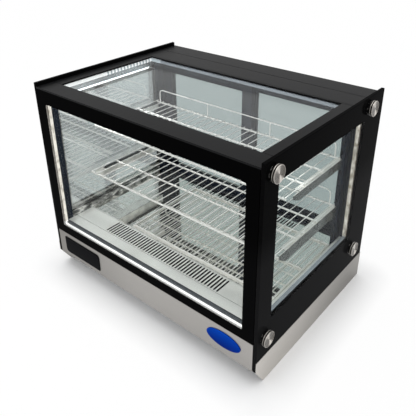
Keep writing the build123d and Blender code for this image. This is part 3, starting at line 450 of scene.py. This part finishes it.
def piece(name, mesh, material, place=Matrix()):
    """Put a new piece in the scene at its place, fixed to the case."""
    made = bpy.data.objects.new(name, mesh)
    bpy.context.scene.collection.objects.link(made)
    made.matrix_world = place
    mesh.materials.append(material)
    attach(made, "case")
    return made


def prism(outline, depth, rounding):
    """A closed solid: an outline in X and Y, drawn up along Z, with its rims rounded."""
    mesh = bmesh.new()
    foot = mesh.faces.new([mesh.verts.new((x, y, 0)) for x, y in outline])
    raised = bmesh.ops.extrude_face_region(mesh, geom=[foot])["geom"]
    bmesh.ops.translate(mesh, vec=(0, 0, depth),
                        verts=[part for part in raised if isinstance(part, bmesh.types.BMVert)])
    bmesh.ops.recalc_face_normals(mesh, faces=mesh.faces)
    rims = [edge for edge in mesh.edges if edge.calc_face_angle(0) > radians(40)]
    bmesh.ops.bevel(mesh, geom=rims, offset=rounding, segments=2, profile=0.5, affect="EDGES")
    made = bpy.data.meshes.new("prism")
    mesh.to_mesh(made)
    mesh.free()
    return made


def rounded_rectangle(width, height, first_radius, second_radius, steps=6):
    """A rectangle about its centre; its corners have the two radii by turns."""
    points = []
    for turn, (sx, sy) in enumerate(((1, 1), (-1, 1), (-1, -1), (1, -1))):
        radius = second_radius if turn % 2 else first_radius
        for i in range(steps + 1):
            angle = (turn + i / steps) * pi / 2
            points.append((sx * (width / 2 - radius) + radius * cos(angle),
                           sy * (height / 2 - radius) + radius * sin(angle)))
    return points


bar_low, bar_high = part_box("light_bars")
frost = new_finish("frosted_cover")
off_lamp = frost.node("ShaderNodeTexVoronoi", {"voronoi_dimensions": "1D"},
                      {"W": frost.axis("Y"), "Scale": lamps_in_a_metre})
frosted = frost.done(frost.coat(
    Base_Color=(0.9, 0.92, 0.93, 1), Roughness=0.35,
    Emission_Color=frost.blend(off_lamp, (1.0, 1.0, 1.0, 1), (0.62, 0.70, 0.74, 1)),
    Emission_Strength=1.5))
strip_length = bar_high.y - bar_low.y - 2 * strip_end_gap
for side, name in ((-1, "left_lamp_strip"), (1, "right_lamp_strip")):
    strip = prism(rounded_rectangle(strip_width, strip_length, strip_corner, strip_corner),
                  strip_thickness, strip_rounding)
    middle = Vector((side * (bar_high.x - bar_width + bar_slant / 2),
                     (bar_low.y + bar_high.y) / 2, bar_low.z + bar_slant / 2))
    strip.transform(Matrix.Translation(middle) @ Matrix.Rotation(side * radians(225), 4, "Y"))
    piece(name, strip, frosted)

# Round knobs of turned stainless steel clamp the side glasses. Each is two discs with
# a groove between them and fine lathe rings on its face, on a dark stepped barrel. A wedge of
# glint and a bright rim are painted on each face, the groove is painted dark as shade, and
# the barrel's collar carries a few painted highlights.
knob_radius = 0.022
knob_length = 0.008
disc = 0.0028
chamfer = 0.0006
rim_width = 3 * chamfer
neck = knob_radius - 0.0025
dish = 0.0004
ring_pitch = 0.0006
groove_shade_reach = 0.0016
turned = new_finish("turned_steel")
off_y = turned.axis("Y")
off_z = turned.axis("Z")
radius = (off_y ** 2 + off_z ** 2) ** 0.5
rings = radius.wave(ring_pitch)
# Painted highlight: a bright wedge across each face.
painted_glint = ((0.93 * off_z - 0.37 * off_y) / radius.at_least(0.0005)) ** 12
wear = turned.noise(140, (0.3, 1, 1), 3)
# Painted highlight on the rim of each face.
painted_rim_highlight = radius > knob_radius - rim_width
face_tone_with_painted_light = turned.blend((painted_glint + 0.12 * wear + 0.4 * painted_rim_highlight).within_one(),
                         (0.09, 0.082, 0.072, 1), (0.68, 0.64, 0.59, 1))
# Painted shade in and beside the groove between the discs.
painted_groove_shade = abs(turned.axis("X") - knob_length / 2) < groove_shade_reach
turned_steel = turned.done(turned.coat(
    Base_Color=turned.blend(painted_groove_shade, face_tone_with_painted_light, (0.012, 0.012, 0.011, 1)),
    Metallic=1.0, Roughness=0.24 + 0.08 * wear, Normal=turned.bump(rings, 0.3, 0.0001)))


def lathe(profile, steps=72):
    """A solid turned about X from a profile of (distance along X, radius) points."""
    mesh = bmesh.new()
    hoops = []
    for along, reach in profile:
        hoops.append([mesh.verts.new((along, reach * cos(2 * pi * i / steps),
                                      reach * sin(2 * pi * i / steps))) for i in range(steps)])
    for near, far in zip(hoops, hoops[1:]):
        for i in range(steps):
            j = (i + 1) % steps
            mesh.faces.new((near[i], near[j], far[j], far[i]))
    mesh.faces.new(list(reversed(hoops[0])))
    mesh.faces.new(hoops[-1])
    bmesh.ops.recalc_face_normals(mesh, faces=mesh.faces)
    for face in mesh.faces:
        face.smooth = len(face.verts) == 4
    made = bpy.data.meshes.new("lathe")
    mesh.to_mesh(made)
    mesh.free()
    return made


knob_low, knob_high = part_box("standoff_knobs")
outer_disc = knob_length - disc
knob_profile = [(0, knob_radius - chamfer), (chamfer, knob_radius),
                (disc - chamfer, knob_radius), (disc, knob_radius - chamfer), (disc, neck),
                (outer_disc, neck), (outer_disc, knob_radius - chamfer),
                (outer_disc + chamfer, knob_radius), (knob_length - chamfer, knob_radius),
                (knob_length, knob_radius - chamfer), (knob_length, knob_radius - rim_width),
                (knob_length - dish, knob_radius - rim_width - chamfer),
                (knob_length - dish, 0.0001)]
knob_rows = (knob_low.z + knob_radius, knob_high.z - knob_radius)
knob_columns = (knob_low.y + knob_radius, knob_high.y - knob_radius)
knob_foot = knob_high.x - knob_length
for side, hand, turn in ((-1, "left", pi), (1, "right", 0)):
    for row, z in zip(("lower", "upper"), knob_rows):
        for column, y in zip(("front", "rear"), knob_columns):
            place = Matrix.Translation((side * knob_foot, y, z)) @ Matrix.Rotation(turn, 4, "Z")
            knob = piece(f"{hand}_{row}_{column}_knob", lathe(knob_profile), turned_steel,
                         place)
            if side < 0 and row == "lower" and column == "front":
                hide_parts("standoff_knobs")
collar_end = 0.407
blackened = new_finish("blackened_steel")
scuff = blackened.noise(120, detail=2)
collar = abs(blackened.axis("X")) < collar_end
# Painted highlights: a few bright spots on the collar.
painted_collar_highlights = (8.0 * (blackened.noise(110, detail=1) - 0.5)).within_one() * collar
black_tone = blackened.blend(scuff, (0.012, 0.012, 0.012, 1), (0.035, 0.034, 0.033, 1))
dress(blackened.done(blackened.coat(
    Base_Color=blackened.blend(painted_collar_highlights, black_tone, (0.50, 0.48, 0.45, 1)),
    Metallic=0.8, Roughness=0.2 + 0.1 * scuff)), "standoff_studs")

# The rear doors slide in tracks. Their frames, the tracks and the slotted uprights are of
# dark anodised aluminium, and the doors hold tinted glass. The stiles show as dark bands
# through the case.
anodised = new_finish("dark_anodised")
fine = anodised.noise(22, (12, 12, 0.7), 3)
dark_anodised = anodised.done(anodised.coat(
    Base_Color=anodised.blend(fine, (0.006, 0.009, 0.016, 1), (0.018, 0.023, 0.035, 1)),
    Roughness=0.3 + 0.1 * fine, Specular_IOR_Level=0.05))
dress(dark_anodised, "left_door_frame", "right_door_frame", "door_track_top",
      "door_track_bottom", "left_upright", "right_upright")
dress(plain_glass("door_pane", (0.60, 0.645, 0.64, 1), gleam=0.03), "left_door_glass",
      "right_door_glass")
soften(0.0006, "left_door_frame", "right_door_frame")

# The shelves and the floor rack are welded of bright wire. The shelves lie on polished
# steel brackets hooked into the uprights, with light and shade painted into them: the left
# ones have bright sides and dark edges, and the right ones dark sides and bright edges.


def bracket_steel(name, side, edge, metal):
    """Polished steel with dark stains on its sides, and edges in a tone of their own; the side
    and edge tones are painted light and shade.
    """
    polished = new_finish(name)
    stain = (4.0 * (polished.noise(22, (3, 1.5, 1), 2) - 0.42)).within_one()
    face = polished.blend(0.4 * stain, side, (0.10, 0.095, 0.085, 1))
    return polished.done(polished.coat(
        Base_Color=polished.blend(polished.level(), face, edge), Metallic=metal,
        Roughness=0.16 + 0.12 * stain))


# Painted light: the left brackets' sides are lit bright, their edges dark.
dress(bracket_steel("left_bracket_painted_lit", side=(1.0, 0.98, 0.94, 1),
                    edge=(0.03, 0.03, 0.03, 1), metal=0.2),
      "upper_left_bracket", "middle_left_bracket")
# Painted shade: the right brackets' sides are dark, their edges bright.
dress(bracket_steel("right_bracket_painted_shade", side=(0.07, 0.072, 0.07, 1),
                    edge=(0.92, 0.90, 0.86, 1), metal=0.35),
      "upper_right_bracket", "middle_right_bracket")
wire = new_finish("bright_wire")
flow = wire.noise(90, detail=2)
dress(wire.done(wire.coat(
    Base_Color=wire.blend(flow, (0.88, 0.86, 0.83, 1), (1.0, 0.98, 0.95, 1)), Metallic=0.35,
    Roughness=0.20 + 0.08 * flow)), "upper_shelf", "upper_shelf_guard", "middle_shelf",
      "middle_shelf_guard", "floor_rack")

# Inside the base are two coils of aluminium fins, two fans moulded in black plastic and a
# black painted compressor, joined to the coils by bent copper tubes.
fin_pitch = 0.0026
fins = new_finish("fin_pack")
# The fins show as light and dark stripes; the dark ones are painted shade between the fins.
leaf = fins.axis("X").wave(fin_pitch)
dress(fins.done(fins.coat(
    Base_Color=fins.blend(0.5 + 0.5 * leaf, (0.20, 0.21, 0.22, 1), (0.62, 0.63, 0.65, 1)),
    Metallic=1.0, Roughness=0.4, Normal=fins.bump(leaf, 0.6, 0.0005))),
      "evaporator_coil", "condenser_coil")
dress(moulded("shell_paint", (0.012, 0.012, 0.013, 1), roughness=0.28, grain=300, depth=0.03),
      "compressor")
copper = new_finish("copper_tube")
tarnish = copper.noise(30, detail=4)
dress(copper.done(copper.coat(
    Base_Color=copper.blend(tarnish, (0.74, 0.33, 0.17, 1), (0.42, 0.16, 0.08, 1)), Metallic=1.0,
    Roughness=0.22 + 0.25 * tarnish)), "refrigerant_lines")
dress(moulded("fan_plastic", (0.016, 0.016, 0.017, 1), roughness=0.4), "evaporator_fan_frame",
      "condenser_fan_frame", "evaporator_fan_blade", "condenser_fan_blade")

# The controller, the switch and the power inlet sit in the rear panel, in black moulded
# plastic. The display is a smoked lens and the keys are grey.
dress(moulded("bezel_plastic", (0.014, 0.014, 0.015, 1), roughness=0.36), "control_bezel",
      "power_inlet")
dress(moulded("smoked_lens", (0.006, 0.002, 0.002, 1), roughness=0.06, grain=200, depth=0.01),
      "display_window")
dress(moulded("key_plastic", (0.16, 0.16, 0.165, 1), roughness=0.42), "button_up",
      "button_down", "button_set", "button_lamp")
dress(moulded("rocker_plastic", (0.010, 0.010, 0.011, 1), roughness=0.22), "power_switch")
soften(0.0004, "control_bezel", "power_inlet", "button_up", "button_down", "button_set",
       "button_lamp")

# Two blank enamelled metal plates are fixed to the front panel: a black one with two
# round corners at the left end, and a blue oval at the right end.
plate_thickness = 0.0022
plate_fade_start = 0.128
plate_fade_height = 0.048
black_width = 0.169
black_height = 0.058
black_corners = (0.012, 0.002)
black_rounding = 0.0006
black_middle = (-0.277, 0.102)
blue_width = 0.111
blue_height = 0.051
blue_rounding = 0.0007
blue_middle = (0.302, 0.105)


def enamel(name, colour, foot_colour):
    """A smooth enamel whose colour turns into a second one towards the bottom."""
    gloss = new_finish(name)
    pool = gloss.noise(14, detail=1)
    down = ((plate_fade_start - gloss.axis("Z")) / plate_fade_height).within_one()
    return gloss.done(gloss.coat(
        Base_Color=gloss.blend(0.8 * down + 0.2 * pool, colour, foot_colour), Roughness=0.3,
        Specular_IOR_Level=0.006))


def oval(width, height, steps=56):
    """The outline of an ellipse about its centre."""
    return [(width / 2 * cos(2 * pi * i / steps), height / 2 * sin(2 * pi * i / steps))
            for i in range(steps)]


black_outline = rounded_rectangle(black_width, black_height, *black_corners)
blue_outline = oval(blue_width, blue_height)
black_enamel = enamel("black_enamel", (0.005, 0.005, 0.006, 1), (0.009, 0.009, 0.010, 1))
blue_enamel = enamel("blue_enamel", (0.001, 0.055, 0.42, 1), (0.001, 0.010, 0.15, 1))
panel_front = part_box("front_panel")[0].y
for name, outline, rounding, (x, z), material in (
        ("black_name_plate", black_outline, black_rounding, black_middle, black_enamel),
        ("blue_name_plate", blue_outline, blue_rounding, blue_middle, blue_enamel)):
    plate = prism(outline, plate_thickness, rounding)
    plate.transform(Matrix.Translation((x, panel_front, z))
                    @ Matrix.Rotation(radians(90), 4, "X"))
    piece(name, plate, material)

# The case stands on a pale matt floor that runs out of view. Away from the case the floor
# is seen as glowing white, so that the soft shadow stays near the base.
floor_reach = 14
shadow_reach = 0.10
most_glow = 0.95


def in_sight(finish):
    """1 for what the camera sees straight, in a mirror or through glass, 0 for light."""
    straight = finish.node("ShaderNodeLightPath", {}, {}, out="Is Camera Ray")
    mirrored = finish.node("ShaderNodeLightPath", {}, {}, out="Is Glossy Ray")
    through = finish.node("ShaderNodeLightPath", {}, {}, out="Is Transmission Ray")
    return straight.at_least(mirrored).at_least(through)


floor_corners = [(x * floor_reach, y * floor_reach, 0)
                 for x, y in ((-1, -1), (1, -1), (1, 1), (-1, 1))]
floor_mesh = bpy.data.meshes.new("floor")
floor_mesh.from_pydata(floor_corners, [], [(0, 1, 2, 3)])
floor = bpy.data.objects.new("floor", floor_mesh)
bpy.context.scene.collection.objects.link(floor)
pale = new_finish("pale_floor")
faint = pale.noise(3, detail=2)
paint = pale.coat(Base_Color=pale.blend(faint, (0.95, 0.95, 0.95, 1), (0.97, 0.97, 0.97, 1)),
                  Roughness=0.9, Specular_IOR_Level=0.1)
white_glow = pale.node("ShaderNodeEmission", {}, {"Color": (1, 1, 1, 1), "Strength": 1.0})
half_width, half_depth = cad_box[1][:2]
apart = ((abs(pale.axis("X")) - half_width).at_least(0) ** 2
         + (abs(pale.axis("Y")) - half_depth).at_least(0) ** 2) ** 0.5
share = most_glow * (apart / shadow_reach).within_one()
floor_mesh.materials.append(pale.done(pale.mix(share * in_sight(pale), paint, white_glow)))

# The case stands in soft studio light: a white room, a wide lamp overhead and a weaker one
# from the left. Two small lamps under its top give the light of the two light bars.
bpy.context.scene.world = bpy.data.worlds.new("room")
room = Finish(bpy.context.scene.world)
room_light = room.node("ShaderNodeBackground", {},
                       {"Color": (0.99, 0.995, 1.0, 1), "Strength": 1.0})
white_wall = room.node("ShaderNodeBackground", {}, {"Color": (1, 1, 1, 1), "Strength": 1.0})
room.done(room.mix(in_sight(room), room_light, white_wall), "ShaderNodeOutputWorld")


def soft_lamp(name, place, aim, size, power):
    """A wide square lamp that points at a place on the case."""
    light = bpy.data.lights.new(name, "AREA")
    light.shape = "SQUARE"
    light.size = size
    light.energy = power
    lamp = bpy.data.objects.new(name, light)
    bpy.context.scene.collection.objects.link(lamp)
    lamp.location = place
    lamp.rotation_euler = (Vector(aim) - Vector(place)).to_track_quat("-Z", "Y").to_euler()


case_middle = (0.0, 0.0, 0.33)
tray_front = (0.0, -0.14, 0.16)
soft_lamp("overhead", place=(-0.4, -0.5, 2.6), aim=case_middle, size=1.8, power=9)
soft_lamp("left_fill", place=(-2.2, -1.8, 1.6), aim=case_middle, size=1.4, power=4)
for side, name, power in ((-1, "left_bar_light", 0.9), (1, "right_bar_light", 0.25)):
    soft_lamp(name, place=(side * 0.34, -0.06, 0.60), aim=tray_front, size=0.06, power=power)
    bpy.data.objects[name].visible_glossy = False

# The camera stands to the right of the front, above the case, and looks down at it. Its
# place, its direction and the shift of its lens were fitted to the corners of the case.
camera_place = Vector((0.9099, -1.0744, 1.1389))
azimuth = radians(40.016)
elevation = radians(26.53)
roll = radians(-0.418)
back = Vector((sin(azimuth) * cos(elevation), -cos(azimuth) * cos(elevation), sin(elevation)))
level_right = (-back).cross(Vector((0, 0, 1))).normalized()
level_up = level_right.cross(-back)
right = level_right * cos(roll) + level_up * sin(roll)
up = level_up * cos(roll) - level_right * sin(roll)
facing = Matrix((right, up, back)).transposed().to_4x4()
lens = bpy.data.cameras.new("view")
lens.lens = 45.0
lens.sensor_width = 36.0
lens.shift_y = -0.132
lens.clip_start = 0.05
lens.clip_end = 60.0
viewer = bpy.data.objects.new("view", lens)
viewer.matrix_world = Matrix.Translation(camera_place) @ facing
bpy.context.scene.collection.objects.link(viewer)
bpy.context.scene.camera = viewer
bpy.context.scene.view_settings.view_transform = "Standard"
